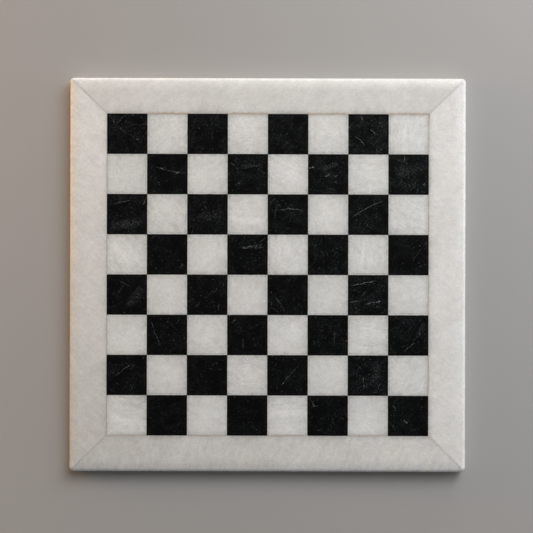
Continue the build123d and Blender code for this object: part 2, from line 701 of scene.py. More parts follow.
@dataclass(frozen=True)
class WhiteStone(Stone):
    """Polished white stone: soft clouds, slanting streaks and a sugary grain.

    Painted shade darkens the stone along the field's outline, most where it meets the dark tiles,
    which drink the light that it scatters, and on the light tiles towards their sides. Its pieces
    also hold how light they are, with painted light and shade on the border strips, and how
    lively their streaks are.
    """

    name: str
    colour: Colour = (0.765, 0.775, 0.767)
    stain: Colour = (0.50, 0.36, 0.24)
    speck: Colour = (0.33, 0.20, 0.12)
    warmth: Colour = (1.0, 0.985, 0.965)  # the tint of the warmer clouds
    cloud: float = 0.070
    mottle: float = 0.040
    streak: float = 0.080
    grain: float = 0.165
    roughness: float = 0.27
    refraction: float = 1.49
    glow: float = 0.5
    glow_depth: float = 0.003  # metres
    relief: float = 0.04 * MM
    hairline: float = 0.0  # how dark the line drawn a little inside a tile's sides is, or 0 for the border
    hairline_inset: float = 1.35  # millimetres

    def tone(self, graph: Surface, stone: Pattern) -> Pattern:
        """Adds the stone's patterns together.

        Args:
            graph: The tree to fill in.
            stone: The coordinates in the block, in millimetres.

        Returns:
            The stone's brightness, about 1.
        """
        lively = graph.attribute("lively", "Fac")
        broad = graph.mapped(stone, (0.05, 0.30, 0.2))
        fine = graph.mapped(stone, (0.26, 0.90, 0.5))
        total: Value = 1.0
        for pattern, share, varies in (
            (graph.noise(stone, 0.03, 3.0, 0.5, 0.6), self.cloud, False),
            (graph.noise(stone, 0.13, 3.0, 0.55, 0.4), self.cloud, False),
            (graph.noise(stone, 0.38, 2.0, 0.5, 0.3), self.mottle, False),
            (graph.noise(broad, 1.0, 3.0, 0.55, 0.5), self.streak, True),
            (graph.noise(fine, 1.0, 3.0, 0.55, 0.3), self.streak, True),
            (graph.noise(stone, 1.1, 3.0, 0.65), self.grain, False),
        ):
            part = pattern.ramp(0.25, 0.75, -share / 2, share / 2)
            total = total + (part * lively if varies else part)
        total = total + graph.cells(stone, 0.42).ramp(0.28, 0.08, 0.0, 1.1 * self.grain)
        wobble = graph.noise(stone, 0.12, 3.0, 0.55) - 0.5
        for number in range(self.VEINS_PER_PIECE):
            total = total + self.vein(graph, number, wobble)
        # The tone attribute also carries the border strips' painted light and shade.
        return total * graph.attribute("tone", "Fac")

    def weights(self, graph: Surface) -> tuple[Pattern, Pattern]:
        """Says how strong the painted shade and the stain along the field's outline are, side by
        side.

        Args:
            graph: The tree to fill in.

        Returns:
            The strength of the shading, least on White's side, and of the stain, most on the
            queenside.
        """
        x, y, _ = graph.split(graph.place())
        half = field_half()
        shading = x.ramp(-half, -0.9 * half, 0.55, 1.0)
        return shading, shading * y.ramp(0.9 * half, half, 0.55, 1.5)

    def beside_tiles(self, graph: Surface, patch: Pattern) -> Pattern:
        """Paints shade on the border along the field, more beside the dark tiles.

        Args:
            graph: The tree to fill in.
            patch: A pattern that makes the shading uneven.

        Returns:
            The factor to shade the stone by.
        """
        away = graph.from_field()
        dark = graph.nearest_square().ramp(-0.15, 0.65)
        broad = away.ramp(14.0 * MM, 0.0, 0.0, 0.07)
        close = away.ramp(4.5 * MM, 0.0, 0.0, 0.11)
        loss = (broad + close) * dark + away.ramp(6.5 * MM, 0.0, 0.0, 0.09)
        return 1.0 - loss * patch.ramp(*MOST_NOISE, 0.8, 1.2) * self.weights(graph)[0]

    def tile_edges(self, graph: Surface, patch: Pattern) -> Pattern:
        """Paints shade on a tile towards its sides, draws its hairline and paints a highlight
        outside it.

        Args:
            graph: The tree to fill in.
            patch: A pattern that makes the shading uneven.

        Returns:
            The factor to shade the stone by.
        """
        uneven = patch.ramp(*MOST_NOISE, 1.30, 0.70)
        outer = graph.from_field().ramp(6.0 * MM, 0.0, 0.0, 0.15)
        shade = 1.0 - outer * self.weights(graph)[0]
        for inward in self.from_each_side(graph):
            loss = inward.ramp(18.0, 0.0, 0.0, 0.07) + inward.ramp(5.0, 0.0, 0.0, 0.08)
            shade = shade * (1.0 - loss * uneven)
        inward = self.from_sides(graph)
        off = abs(inward - self.hairline_inset)
        depth = off.ramp(0.34, 0.08) * patch.ramp(0.30, 0.60, 1.0, 0.35)
        line = 1.0 - depth * self.hairline
        # Painted highlight: the narrow band between the tile's sides and its hairline is
        # brightened.
        painted_edge_highlight = inward.ramp(self.hairline_inset, self.hairline_inset - 0.15, 1.0, 1.06)
        return shade * line * painted_edge_highlight

    def soaked(self, graph: Surface, stone: Pattern) -> Pattern:
        """Says how far the resin's stain has soaked into the stone along the field's outline.

        Args:
            graph: The tree to fill in.
            stone: The coordinates in the block, in millimetres.

        Returns:
            The strength of the stain, least beside dark squares.
        """
        patchy = graph.noise(stone, 0.2, 3.0, 0.6).ramp(0.34, 0.70, 0.15, 0.60)
        close = graph.from_field().ramp(2.2 * MM, 0.1 * MM) * patchy
        close = graph.maths("MULTIPLY", close, self.weights(graph)[1], clamp=True)
        return close * graph.nearest_square().ramp(0.2, -0.2, 0.15, 1.0)

    def build(self, graph: Surface) -> None:
        """Fills in the material's node tree.

        Args:
            graph: The tree to fill in.
        """
        stone = graph.attribute("stone")
        patch = graph.noise(stone, 0.20, 3.0, 0.6)
        shaded = self.tile_edges if self.hairline else self.beside_tiles
        tone = self.tone(graph, stone) * shaded(graph, patch)
        warm = graph.noise(graph.mapped(stone, shift=(37.0, 11.0, 5.0)), 0.04, 3.0, 0.6, 0.8)
        tint = graph.blend(warm.ramp(0.35, 0.75), (1.0, 1.0, 1.0), self.warmth)
        colour = graph.blend(1.0, graph.lit(self.colour, tone), tint, "MULTIPLY")
        colour = graph.blend(self.soaked(graph, stone), colour, self.stain)
        spread = graph.mapped(stone, shift=(3.0, 70.0, 0.0))
        speck = graph.cells(spread, 0.055).ramp(0.030, 0.014)
        speck = speck * graph.lot(spread, 0.055).ramp(0.88, 0.94)
        worn = graph.noise(stone, 0.14, 3.0, 0.55, 0.4)
        graph.shade(
            Base_Color=graph.blend(speck, colour, self.speck),
            Roughness=worn.ramp(*MOST_NOISE, self.roughness - 0.04, self.roughness + 0.05),
            IOR=self.refraction,
            Subsurface_Weight=self.glow,
            Subsurface_Radius=(1.0, 0.95, 0.9),
            Subsurface_Scale=self.glow_depth,
        )
        graph.bump(graph.noise(stone, 1.1, 3.0, 0.65), self.relief, 0.5)


@dataclass(frozen=True)
class DarkStone(Stone):
    """Polished near-black stone: faint dusty clouds, thin broken veins, scratches and flecks, with
    a painted highlight along each tile's sides.

    Its pieces also hold how lively they are.
    """

    name: str
    colour: Colour = (0.0026, 0.0027, 0.0029)
    cloud: Colour = (0.0215, 0.0250, 0.0280)
    mark: Colour = (0.32, 0.35, 0.365)
    roughness: float = 0.20
    refraction: float = 1.50
    relief: float = 0.03 * MM
    frame_inset: float = 1.75  # millimetres from a tile's sides to the painted highlight along them

    def strokes(self, graph: Surface, stone: Pattern, turn: float, shift: float) -> Pattern:
        """Adds short thin strokes that lie roughly one way.

        Args:
            graph: The tree to fill in.
            stone: The swirled coordinates in the block, in millimetres.
            turn: The way that the strokes lie, in degrees.
            shift: Where in the block the pattern is read.

        Returns:
            How much each point belongs to a stroke.
        """
        lines = graph.mapped(stone, (0.20, 1.5, 0.5), turn, (shift, shift, 0.0))
        return graph.noise(lines, 1.0, 2.0, 0.55).ramp(0.66, 0.73)

    def motes(self, graph: Surface, stone: Pattern, patch: Pattern) -> Pattern:
        """Scatters tiny pale motes, more in some patches than in others.

        Args:
            graph: The tree to fill in.
            stone: The coordinates in the block, in millimetres.
            patch: A pattern that gathers them.

        Returns:
            How white each point is with motes.
        """
        spots = graph.cells(stone, 0.62).ramp(0.26, 0.14)
        bright = graph.lot(stone, 0.62).ramp(0.76, 1.0, 0.0, 0.55) * spots
        return bright * patch.ramp(0.38, 0.62, 0.25, 1.1)

    def marks(self, graph: Surface, stone: Pattern, dust: Pattern) -> Pattern:
        """Gathers the veins, strokes and flecks.

        Args:
            graph: The tree to fill in.
            stone: The coordinates in the block, in millimetres.
            dust: The stone's finest pattern, which breaks the marks up.

        Returns:
            How white each point is with marks.
        """
        bent = graph.mapped(self.bent(graph, stone, 0.05, 14.0), (0.6, 1.4, 1.0))
        web = graph.cells(bent, 0.042, "DISTANCE_TO_EDGE").ramp(0.011, 0.001)
        web = web * graph.noise(stone, 0.22, 3.0, 0.6).ramp(0.50, 0.66, 0.0, 0.5)
        short = self.bent(graph, stone, 0.09, 7.0)
        level, steep = self.strokes(graph, short, 4.0, 0.0), self.strokes(graph, short, 55.0, 41.0)
        patch = graph.noise(graph.mapped(stone, shift=(0.0, 55.0, 0.0)), 0.07, 3.0, 0.6)
        strokes = level.at_least(steep) * patch.ramp(0.44, 0.62, 0.0, 0.50)
        flecks = graph.cells(graph.mapped(stone, (1.0, 1.5, 1.0)), 0.20).ramp(0.085, 0.03)
        flecks = flecks * graph.noise(stone, 0.3, 1.0).ramp(0.54, 0.66, 0.0, 0.55)
        gaps = graph.noise(stone, 0.75, 2.0, 0.6).ramp(0.42, 0.58, 0.10, 1.4)
        total = web.at_least(strokes).at_least(flecks) * graph.attribute("lively", "Fac") * gaps
        total = total.at_least(self.motes(graph, stone, patch)) * 0.65
        wobble = graph.noise(stone, 0.26, 4.0, 0.6) - 0.5
        for number in range(self.VEINS_PER_PIECE):
            total = total.at_least(self.vein(graph, number, wobble, gaps))
        return graph.maths("MULTIPLY", total, dust.ramp(0.38, 0.58, 0.30, 1.45), clamp=True)

    def haze(self, graph: Surface, stone: Pattern, drift: Pattern, dust: Pattern) -> Pattern:
        """Gathers the dusty clouds and the painted highlight along the tile's sides.

        Args:
            graph: The tree to fill in.
            stone: The coordinates in the block, in millimetres.
            drift: The stone's broad pattern.
            dust: The stone's finest pattern.

        Returns:
            How pale each point is with haze and painted highlight.
        """
        lively = graph.attribute("lively", "Fac")
        haze = drift.ramp(0.36, 0.70, 0.20, 1.0) * dust.ramp(0.45, 0.70, 0.0, 1.7)
        haze = haze * graph.noise(stone, 0.42, 2.0, 0.6).ramp(0.35, 0.65, 0.70, 1.10)
        haze = haze * (lively * 0.7 + 0.5)
        inward = self.from_sides(graph)
        # Painted shade: the haze is left out of the band outside the highlight, which keeps it
        # darker.
        haze = haze * inward.ramp(self.frame_inset - 0.3, self.frame_inset + 0.2)
        # Painted highlight: a pale line a little inside the tile's sides.
        line = abs(inward - self.frame_inset).ramp(0.40, 0.10)
        line = line * drift.ramp(0.40, 0.65, 0.15, 0.60)
        return graph.maths("MAXIMUM", haze, line, clamp=True)

    def build(self, graph: Surface) -> None:
        """Fills in the material's node tree.

        Args:
            graph: The tree to fill in.
        """
        stone = graph.attribute("stone")
        drift = graph.noise(stone, 0.09, 5.0, 0.6, 0.5)
        dust = graph.noise(stone, 0.8, 4.0, 0.7)
        marks = self.marks(graph, stone, dust)
        haze = self.haze(graph, stone, drift, dust)
        polish = drift.ramp(*MOST_NOISE, self.roughness - 0.03, self.roughness + 0.04)
        graph.shade(
            Base_Color=graph.blend(marks, graph.blend(haze, self.colour, self.cloud), self.mark),
            Roughness=polish + marks * 0.18,
            IOR=self.refraction,
        )
        graph.bump(dust + marks * -1.5, self.relief, 0.35)


@dataclass(frozen=True)
class CuredResin(Finish):
    """Cured resin, stained by polishing dust, with pinholes whose shade is painted dark."""

    name: str
    colour: Colour = (0.50, 0.43, 0.36)
    stain: Colour = (0.26, 0.17, 0.10)
    # Painted shade inside the pinholes.
    pinhole: Colour = (0.05, 0.035, 0.02)
    relief: float = 0.08 * MM

    def tinted(self, graph: Surface, dirt: Pattern) -> Pattern:
        """Colours the resin by how dirty it is."""
        return graph.blend(dirt.ramp(0.44, 0.72), self.colour, self.stain)

    def build(self, graph: Surface) -> None:
        """Fills in the material's node tree.

        Args:
            graph: The tree to fill in.
        """
        place = graph.place_in_mm()
        dirt = graph.noise(place, 0.35, 4.0, 0.65)
        pinholes = graph.cells(place, 1.1).ramp(0.16, 0.06)
        graph.shade(
            Base_Color=graph.blend(pinholes * 0.7, self.tinted(graph, dirt), self.pinhole),
            Roughness=dirt.ramp(*MOST_NOISE, 0.42, 0.62),
        )
        graph.bump(dirt - pinholes, self.relief, 0.6)


@dataclass(frozen=True)
class LatticeResin(CuredResin):
    """The resin round the tiles: greyed by black dust, and tan along the border's white stone."""

    greyed: Colour = (0.060, 0.056, 0.052)
    crossing: Colour = (0.16, 0.09, 0.05)

    def crossings(self, graph: Surface) -> Pattern:
        """Finds the joints' crossings where brown dirt has gathered.

        Args:
            graph: The tree to fill in.

        Returns:
            How near each point is to such a crossing.
        """
        half = square_pitch() / 2
        x, y = [graph.maths("PINGPONG", part, half) for part in graph.split(graph.place())[:2]]
        away = graph.maths("SQRT", x * x + y * y)
        chosen = graph.noise(graph.place(), 21.0, 1.0).ramp(0.42, 0.60)
        return away.ramp(1.3 * MM, 0.4 * MM) * chosen

    def tinted(self, graph: Surface, dirt: Pattern) -> Pattern:
        """Colours the resin by where it is.

        Args:
            graph: The tree to fill in.
            dirt: The pattern of dirt.

        Returns:
            The resin's colour.
        """
        outer = graph.from_field().ramp(0.9 * MM, 0.6 * MM)
        pale = outer * graph.nearest_square().ramp(0.1, -0.1)
        colour = graph.blend(pale, self.greyed, super().tinted(graph, dirt))
        return graph.blend(self.crossings(graph), colour, self.crossing)


@dataclass(frozen=True)
class SawnStone(Finish):
    """Unpolished stone from the saw, with the blade's fine parallel marks."""

    name: str
    colour: Colour = (0.56, 0.54, 0.51)
    relief: float = 0.2 * MM

    def build(self, graph: Surface) -> None:
        """Fills in the material's node tree.

        Args:
            graph: The tree to fill in.
        """
        place = graph.place_in_mm()
        mottle = graph.noise(place, 0.08, 5.0, 0.6)
        marks = graph.noise(graph.mapped(place, (0.01, 0.9, 0.3)), 1.0, 2.0, 0.5)
        tone = mottle.ramp(*MOST_NOISE, 0.88, 1.08) * marks.ramp(*MOST_NOISE, 0.95, 1.04)
        graph.shade(
            Base_Color=graph.lit(self.colour, tone),
            Roughness=mottle.ramp(*MOST_NOISE, 0.7, 0.85),
        )
        graph.bump(marks + mottle, self.relief, 0.6)


@dataclass(frozen=True)
class PressedFelt(Finish):
    """Pressed wool felt: matted fibres with a soft sheen and a slightly uneven dye."""

    name: str
    colour: Colour = (0.016, 0.075, 0.042)
    faded: Colour = (0.034, 0.115, 0.070)
    relief: float = 0.3 * MM

    def build(self, graph: Surface) -> None:
        """Fills in the material's node tree.

        Args:
            graph: The tree to fill in.
        """
        place = graph.place_in_mm()
        dye = graph.noise(place, 0.05, 3.0, 0.6)
        matted = graph.noise(place, 0.55, 4.0, 0.7, 1.5)
        one_way = graph.noise(graph.mapped(place, (0.5, 3.2, 1.6), 24.0), 1.0, 2.0, 0.6, 0.8)
        other_way = graph.noise(graph.mapped(place, (3.0, 0.45, 1.6), -33.0), 1.0, 2.0, 0.6, 0.8)
        fibres = one_way.at_least(other_way)
        uneven, worn = dye.ramp(*MOST_NOISE, 0.0, 0.4), fibres.ramp(0.5, 0.8, 0.0, 0.6)
        colour = graph.blend(
            graph.maths("ADD", uneven, worn, clamp=True), self.colour, self.faded
        )
        graph.shade(
            Base_Color=graph.lit(colour, matted.ramp(*MOST_NOISE, 0.75, 1.2)),
            Roughness=fibres.ramp(0.4, 0.8, 0.95, 0.85),
            Sheen_Weight=0.35,
            Sheen_Roughness=0.5,
        )
        graph.bump(fibres + matted, self.relief, 0.8)


@dataclass(frozen=True)
class PaleFloor(Finish):
    """The studio's plain pale floor, with the least unevenness of paint."""

    name: str
    colour: Colour = (0.42, 0.415, 0.41)

    def build(self, graph: Surface) -> None:
        """Fills in the material's node tree.

        Args:
            graph: The tree to fill in.
        """
        wash = graph.noise(graph.place(), 1.5, 4.0, 0.5)
        graph.shade(
            Base_Color=graph.lit(self.colour, wash.ramp(*MOST_NOISE, 0.98, 1.02)),
            Roughness=wash.ramp(*MOST_NOISE, 0.82, 0.9),
        )


BORDER_STONE = WhiteStone("white_border_stone")
LIGHT_STONE = WhiteStone(
    "white_tile_stone",
    (0.802, 0.827, 0.826),
    cloud=0.090,
    mottle=0.080,
    streak=0.095,
    hairline=0.34,
)
DARK_STONE = DarkStone("black_tile_stone")
JOINT_RESIN = LatticeResin("joint_resin_cured", (0.56, 0.47, 0.38), (0.36, 0.26, 0.18))
MITRE_RESIN = CuredResin("mitre_resin_cured", (0.64, 0.57, 0.49), (0.50, 0.41, 0.32))
BEDDING_RESIN = CuredResin("bedding_resin_cured", (0.36, 0.27, 0.18), (0.16, 0.11, 0.07))
CORE_STONE = SawnStone("sawn_core_stone")
FELT = PressedFelt("green_felt")
FLOOR = PaleFloor("pale_floor")


# --------------------------------------------------------------------------------------------
# What pieces hold in their meshes, and how they are handed over
# --------------------------------------------------------------------------------------------


@dataclass(frozen=True)
class Vein:
    """One vein or band in a tile, in millimetres and degrees from the tile's centre."""

    x: float
    y: float
    heading: float
    reach: float  # half of its length
    strength: float  # below 0 for a dull band
    breadth: float = 0.20
    bend: float = 0.0
    wander: float = 5.0

    def write(self, mesh: bpy.types.Mesh, number: int, offsets: Sequence[Vector]) -> None:
        """Writes the vein into a mesh.

        Args:
            mesh: The tile's mesh.
            number: Which of the tile's veins this is.
            offsets: Each vertex's place from the tile's centre, in millimetres.
        """
        turn = math.radians(self.heading)
        along = Vector((math.cos(turn), math.sin(turn), 0.0))
        across = Vector((-along.y, along.x, 0.0))
        course = []
        for offset in offsets:
            run = offset - Vector((self.x, self.y, 0.0))
            course += (run.dot(along) / self.reach, run.dot(across), self.strength)
        write_vectors(mesh, f"vein_{number}", course)
        form = [self.bend, self.breadth, self.wander] * len(offsets)
        write_vectors(mesh, f"vein_{number}_form", form)


def write_vectors(mesh: bpy.types.Mesh, name: str, numbers: Sequence[float]) -> None:
    """Adds a vector attribute to a mesh's vertices, from three numbers for each in turn."""
    mesh.attributes.new(name, "FLOAT_VECTOR", "POINT").data.foreach_set("vector", numbers)


def place_in_block(chance: random.Random, reach: float = 400.0) -> Vector:
    """Draws where in its block of stone a piece was sawn, in millimetres."""
    return Vector([chance.uniform(-reach, reach) for _ in range(3)])


def sawn_from(piece: bpy.types.Object, centre: Vector, streaks: float, offset: Vector) -> None:
    """Writes where in its block of stone each point of a piece was sawn from.

    Args:
        piece: The piece, in place.
        centre: The point that the block is turned about.
        streaks: The way that the block's streaks run in the piece, in degrees from +X.
        offset: The place of the piece's centre in the block, in millimetres.
    """
    turn = Euler(BLOCK_TILT).to_matrix() @ Matrix.Rotation(math.radians(-streaks), 3, "Z")
    places = [turn @ ((vertex.co - centre) / MM) + offset for vertex in piece.data.vertices]
    write_vectors(piece.data, "stone", [part for place in places for part in place])


def characterise(piece: bpy.types.Object, lively: float, tones: Sequence[float]) -> None:
    """Writes how one piece of stone differs from the next, and the painted light and shade on the
    border strips.

    Args:
        piece: The piece.
        lively: How strongly it shows its veins or streaks.
        tones: How light each of its vertices is against the usual.
    """
    for name, values in (("lively", [lively] * len(tones)), ("tone", tones)):
        piece.data.attributes.new(name, "FLOAT", "POINT").data.foreach_set("value", values)


def dress(piece: bpy.types.Object, finish: Finish) -> None:
    """Gives every slot of a piece one finish."""
    piece.data.materials.clear()
    piece.data.materials.append(finish.material())


def hand_over(piece: bpy.types.Object, node: str) -> None:
    """Hangs a finished piece on its body and hides the node that it stands for.

    Args:
        piece: The finished piece.
        node: The node that the piece replaces.
    """
    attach(piece, BODY)
    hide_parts(node)
    log.info("%s: %d faces, in place of %s", piece.name, len(piece.data.polygons), node)


# --------------------------------------------------------------------------------------------
# Playing field
# --------------------------------------------------------------------------------------------

# The veins and bands of the tiles that are known one by one, each with a Vein's numbers in order
VEINS: dict[str, tuple[tuple[float, ...], ...]] = {
    "a1": ((-13.3, 13.3, -48, 6.5, 0.35), (-6.5, 13.4, 50, 5, 0.5), (1, 0, -32, 16, 0.16)),
    "a7": ((-6.2, 14.6, -60, 4.5, 0.8), (5.2, 2, -38, 5, 0.75), (-8.2, -6.4, -45, 7, 0.7, 0.2, 1)),
    "b2": ((2.2, 4.2, -14, 17, 0.55, 0.2, -0.9),),
    "b4": ((-13, 8, -35, 5, 0.4, 0.5), (4, 8, 5, 12, 0.075, 3.0), (13, 3, -40, 5, 0.25)),
    "b6": (
        (-15.8, 6.5, 20, 3, 0.8, 0.7), (0.2, -0.5, 35, 3.5, 0.6, 0.4), (2, 8, 22, 10, 0.07, 3.5),
    ),
    "b8": ((-4, 15, 85, 4, 0.30, 0.4), (2, 4, 15, 18, 0.04, 9.0)),
    "c1": ((-4, 12, 10, 9, 0.55, 0.3), (0, -9, 12, 18, 0.065, 6.0), (17, 12, 60, 3, 0.5, 0.4)),
    "c3": ((2, -2, 10, 15, 0.045, 7.0), (-4, 8, -30, 5, 0.25)),
    "c5": ((-14, 13.5, 55, 4.5, 0.35), (4, 2.5, -3, 14, 0.30, 0.4, 3), (-12, 2, 80, 9, 0.2)),
    "c7": ((0, 5, 28, 19, 0.75, 0.2, 2.0, 0.8), (3, -12, -40, 2, 0.4)),
    "d2": ((-14, 16, 60, 4, 0.25), (14, -11, 50, 4, 0.3)),
    "d4": ((4, 7, 2, 13, 0.20, 1.3, 0, 8.0), (15, 15, 55, 4, 0.35), (9, 9, 12, 6, 0.45, 0.3)),
    "d6": ((-13, 9.5, -35, 3, 0.45), (-6, 15, 80, 2, 0.4)),
    "d8": ((10, 3, 55, 14, 0.14),),
    "e1": ((-3, 11, -20, 3.5, 0.55, 0.35), (8, -2, 50, 14, 0.055, 6.0), (-6, 5, 60, 6, 0.35)),
    "e3": ((5, 3, 35, 7, 0.3), (11, -11, 70, 3, 0.3, 0.8), (-9, -9, 50, 4, 0.2, 0.6)),
    "e5": ((-8, -9, -60, 10, 0.4, 0.2, 1.0), (-13, -14, -35, 5, 0.3)),
    "e7": (
        (-4, 11.5, 12, 13, 0.85, 0.35, 0, 3.5), (5, -7, 12, 10, 0.5, 0.4, 0, 2.5),
        (-12, -6, 5, 7, 0.35, 0.5),
    ),
    "f3": ((2, -3, 0, 0.6, -0.40, 0.5, 0, 0.0),),
    "f2": ((-10, 1, -68, 16, 0.28, 0.2, -1.0), (6, 8, -55, 7, 0.12)),
    "f4": ((-4, -8.5, -87, 6, 0.45), (-13, 14, 35, 4, 0.25)),
    "f6": ((6, -3, 85, 8, 0.14, 0.8),),
    "f8": ((1, -11, 40, 7, 0.45, 0.35), (8, -2, 50, 9, 0.16, 0.5), (12, 5, 60, 9, 0.06, 4.0)),
    "g1": ((-3, 5, 35, 12, 0.28, 0.35), (6, 9, 45, 3, 0.45)),
    "g5": ((2, -1, 50, 16, 0.28, 0.3, 0.8),),
    "g7": ((-4, -8, 88, 8, 0.3, 0.5), (7, 2, 80, 14, 0.05, 6.0), (11, -10, 60, 3, 0.4, 0.5)),
    "h6": ((-14, 12, -60, 4, 0.45, 0.6), (-12, 9, 20, 4, 0.3, 0.5)),
    "h8": ((-13.5, 8, -60, 4, 0.5), (-2.5, -5.5, -40, 3, 0.6, 0.4), (-15, -9, -50, 6, 0.18)),
    "a6": ((-13, 2, 86, 16, -0.08, 2.5), (7, 4, 60, 10, 0.06, 5.0)),
    "a8": ((-4, 2, 82, 14, 0.08, 2.5), (4, 2, 84, 14, 0.05, 2.0), (-14, 0, 85, 14, -0.05, 3.0)),
    "b3": ((9, 11, 42, 10, 0.10, 0.8, 0, 0.4), (-7, 1, 60, 8, 0.07, 4.0)),
    "b5": ((9, 0, -30, 10, 0.10, 2.0), (-2, 1, -34, 14, 0.05, 1.2), (-12, -7, -34, 10, -0.07, 3.0)),
    "c4": ((0, -6, 0, 20, 0.10, 7.0), (1, -4, 1, 16, 0.06, 0.9), (3, -10, -3, 14, 0.05, 1.2)),
    "c8": ((6, 9, -32, 14, 0.07, 0.9), (3, 1, -32, 16, 0.06, 0.9), (1, -3, -32, 16, -0.05, 1.5)),
    "d1": (
        (-3, -2, -52, 18, 0.10, 2.2), (-10, -6, -52, 10, -0.06, 3.0), (6, 3, -50, 14, 0.03, 3.0),
    ),
    "d7": ((-5, 0, 88, 16, 0.09, 2.4), (5, 2, 80, 14, 0.05, 2.5), (-14, 0, 88, 16, -0.06, 3.0)),
    "f7": ((2, -12, -8, 16, 0.10, 0.8), (0, -9, -8, 14, -0.08, 1.0), (3, 6, -8, 14, 0.06, 1.4)),
    "g4": ((-4, 6, 3, 10, 0.08, 1.2), (3, -8, 4, 12, 0.11, 1.2), (-12, -5, 0, 6, -0.06, 3.0)),
    "h1": ((5, 11, -8, 14, -0.12, 4.0), (-4, -4, -12, 18, 0.08, 5.0), (-7, 7, -12, 10, 0.07, 1.0)),
    "c2": ((3, 6, -50, 12, 0.06, 5.0), (7, -12, -30, 7, -0.09, 4.0)),
    "f5": ((8, 5, -45, 10, 0.06, 5.0), (-4, -3, -45, 8, -0.05, 4.0)),
    "h5": ((0, 3, 2, 20, 0.11, 4.5), (-3, 11, 5, 15, -0.12, 1.0), (0, -7, 2, 18, -0.05, 4.0)),
}


@dataclass(frozen=True)
class Square:
    """One square of the board: its name, its stone, and the tile that fills it, in metres."""

    file: int
    rank: int
    shade: Shade
    centre: Vector  # level with the playing face
    side: float

    @property
    def name(self) -> str:
        """The square's name, such as a1."""
        return f"{FILES[self.file]}{self.rank + 1}"

    @property
    def node(self) -> str:
        """The node that holds the square's tile."""
        return f"{self.shade.value}_tiles_rank_{self.rank + 1}"

    def offsets(self, mesh: bpy.types.Mesh) -> list[Vector]:
        """Measures a tile's vertices from the square's centre, in millimetres."""
        return [(vertex.co - self.centre) / MM for vertex in mesh.vertices]

    def write_sides(self, mesh: bpy.types.Mesh, offsets: Sequence[Vector]) -> None:
        """Writes how far each vertex is from the tile's sides.

        The sides along the border count as far away on light tiles, which have no hairline there.

        Args:
            mesh: The tile's mesh.
            offsets: Each vertex's place in the square, in millimetres.
        """
        half = self.side / 2 / MM
        far = 100.0 if self.shade is Shade.LIGHT else 0.0
        last = len(FILES) - 1
        for name, way, at_border in (
            ("low_sides", 1.0, (self.rank == 0, self.file == last)),
            ("high_sides", -1.0, (self.rank == last, self.file == 0)),
        ):
            x, y = [half + far * bordering for bordering in at_border]
            sides = [n for o in offsets for n in (x + way * o.x, y + way * o.y, 0.0)]
            write_vectors(mesh, name, sides)


class WornEdge:
    """How far one edge of a tile has been worn and chipped back, along its length."""

    SMALL_CHIP = ((0.25, 0.8), (0.04, 0.16))  # half its width and its depth, in millimetres
    LARGE_CHIP = ((0.7, 1.5), (0.15, 0.32))
    LARGE_CHIP_ODDS = 0.3
    USUAL_WEAR = 0.025 * MM
    RIPPLE = 2.4 * MM  # the length along the edge over which the wear changes

    def __init__(self, chance: random.Random, length: float, chips: int) -> None:
        """Draws an edge's chips.

        Args:
            chance: The source of random numbers.
            length: The edge's length.
            chips: The most small chips that it may have.
        """
        self.phase = chance.uniform(0.0, 100.0)
        self.chips = []
        for _ in range(chance.randint(chips // 2, chips)):
            self.chips.append(self.chip(chance, length, *self.SMALL_CHIP))
        if chance.random() < self.LARGE_CHIP_ODDS:
            self.chips.append(self.chip(chance, length, *self.LARGE_CHIP))

    @staticmethod
    def chip(
        chance: random.Random, length: float, widths: Sequence[float], depths: Sequence[float]
    ) -> tuple[float, float, float]:
        """Draws one chip.

        Args:
            chance: The source of random numbers.
            length: The edge's length.
            widths: The least and most of half the chip's width, in millimetres.
            depths: The least and most of its depth, in millimetres.

        Returns:
            The chip's middle, half its width and its depth, in metres.
        """
        middle = chance.uniform(0.0, length)
        return middle, chance.uniform(*widths) * MM, chance.uniform(*depths) * MM

    def depth(self, along: float) -> float:
        """Says how far the edge is worn back at one place.

        Args:
            along: The distance from the edge's start.

        Returns:
            The depth of wear there, in metres.
        """
        ripple = noise.noise(Vector((along / self.RIPPLE, self.phase, 0.0)))
        worn = self.USUAL_WEAR * (1.0 + ripple)
        for middle, width, deep in self.chips:
            reach = 1.0 - ((along - middle) / width) ** 2
            if reach > 0.0:
                worn = max(worn, deep * math.sqrt(reach))
        return worn


